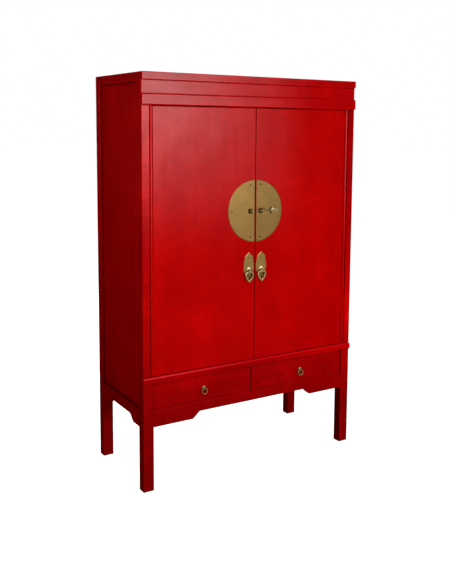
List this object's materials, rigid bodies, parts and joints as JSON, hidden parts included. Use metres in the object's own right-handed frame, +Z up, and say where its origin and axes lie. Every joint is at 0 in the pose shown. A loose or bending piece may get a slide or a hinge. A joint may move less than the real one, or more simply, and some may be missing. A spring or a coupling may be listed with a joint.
{
  "type": "chinese wedding cabinet",
  "caption": "Tall lacquered cupboard on straight legs, with pivot-hung doors, a round brass lock plate with a sliding pin, heart-shaped pulls and drawers with ring pulls.",
  "frame": {"origin": "on the floor under the middle of the cabinet's outline, mouldings included", "axes": "+X to the right seen from the front, +Y from the doors to the back, +Z up"},
  "size_m": [1, 0.45, 1.6],
  "materials": {
    "red_lacquer": "glossy red lacquer over wood",
    "inner_wood": "plain waxed wood",
    "brass": "brushed and aged",
    "glide": "matt"
  },
  "bodies": {
    "cabinet": {"post_front_left": "red_lacquer", "post_front_right": "red_lacquer", "post_rear_left": "red_lacquer", "post_rear_right": "red_lacquer", "top_board": "red_lacquer", "frieze": "red_lacquer", "band_rail": "red_lacquer", "belt_rail": "red_lacquer", "front_apron": "red_lacquer", "side_apron_left": "red_lacquer", "side_apron_right": "red_lacquer", "back_rail": "red_lacquer", "side_panel_left": "red_lacquer", "side_panel_right": "red_lacquer", "drawer_divider": "red_lacquer", "back_panel": "inner_wood", "cupboard_floor": "inner_wood", "lower_shelf": "inner_wood", "upper_shelf": "inner_wood", "shelf_cleats": "inner_wood", "door_stop": "inner_wood", "drawer_kickers": "inner_wood", "runner_centre": "inner_wood", "runner_left": "inner_wood", "runner_right": "inner_wood", "glides": "glide"},
    "door_left": {"door_panel_left": "red_lacquer", "pivot_stile_left": "red_lacquer", "door_battens_left": "inner_wood", "lock_plate_left": "brass", "staple_left": "brass", "handle_plate_left": "brass", "handle_eye_left": "brass", "door_nails_left": "brass"},
    "pendant_left": {"pendant_left": "brass"},
    "door_right": {"door_panel_right": "red_lacquer", "pivot_stile_right": "red_lacquer", "door_battens_right": "inner_wood", "lock_plate_right": "brass", "staple_right": "brass", "handle_plate_right": "brass", "handle_eye_right": "brass", "door_nails_right": "brass"},
    "pendant_right": {"pendant_right": "brass"},
    "lock_pin": {"lock_pin": "brass"},
    "drawer_left": {"drawer_front_left": "red_lacquer", "drawer_side_outer_left": "inner_wood", "drawer_side_inner_left": "inner_wood", "drawer_bottom_left": "inner_wood", "drawer_back_left": "inner_wood", "drawer_eye_left": "brass"},
    "ring_left": {"ring_left": "brass"},
    "drawer_right": {"drawer_front_right": "red_lacquer", "drawer_side_outer_right": "inner_wood", "drawer_side_inner_right": "inner_wood", "drawer_bottom_right": "inner_wood", "drawer_back_right": "inner_wood", "drawer_eye_right": "brass"},
    "ring_right": {"ring_right": "brass"}
  },
  "joints": [
    {"name": "door_left_swing", "type": "hinge", "parent": "cabinet", "child": "door_left", "pos_m": [-0.4625, -0.209, 0.966], "axis": [0, 0, -1], "range_deg": [0, 95]},
    {"name": "door_right_swing", "type": "hinge", "parent": "cabinet", "child": "door_right", "pos_m": [0.4625, -0.209, 0.966], "axis": [0, 0, 1], "range_deg": [0, 95]},
    {"name": "pendant_left_swing", "type": "hinge", "parent": "door_left", "child": "pendant_left", "pos_m": [-0.0297, -0.2207, 0.83], "axis": [-1, 0, 0], "range_deg": [-4, 100]},
    {"name": "pendant_right_swing", "type": "hinge", "parent": "door_right", "child": "pendant_right", "pos_m": [0.0297, -0.2207, 0.83], "axis": [-1, 0, 0], "range_deg": [-4, 100]},
    {"name": "lock_pin_slide", "type": "slide", "parent": "door_right", "child": "lock_pin", "axis": [1, 0, 0], "range_m": [-0.038, 0]},
    {"name": "drawer_left_slide", "type": "slide", "parent": "cabinet", "child": "drawer_left", "axis": [0, -1, 0], "range_m": [0, 0.3]},
    {"name": "drawer_right_slide", "type": "slide", "parent": "cabinet", "child": "drawer_right", "axis": [0, -1, 0], "range_m": [0, 0.3]},
    {"name": "ring_left_swing", "type": "hinge", "parent": "drawer_left", "child": "ring_left", "pos_m": [-0.235, -0.2195, 0.372], "axis": [-1, 0, 0], "range_deg": [-8, 100]},
    {"name": "ring_right_swing", "type": "hinge", "parent": "drawer_right", "child": "ring_right", "pos_m": [0.235, -0.2195, 0.372], "axis": [-1, 0, 0], "range_deg": [-8, 100]}
  ]
}
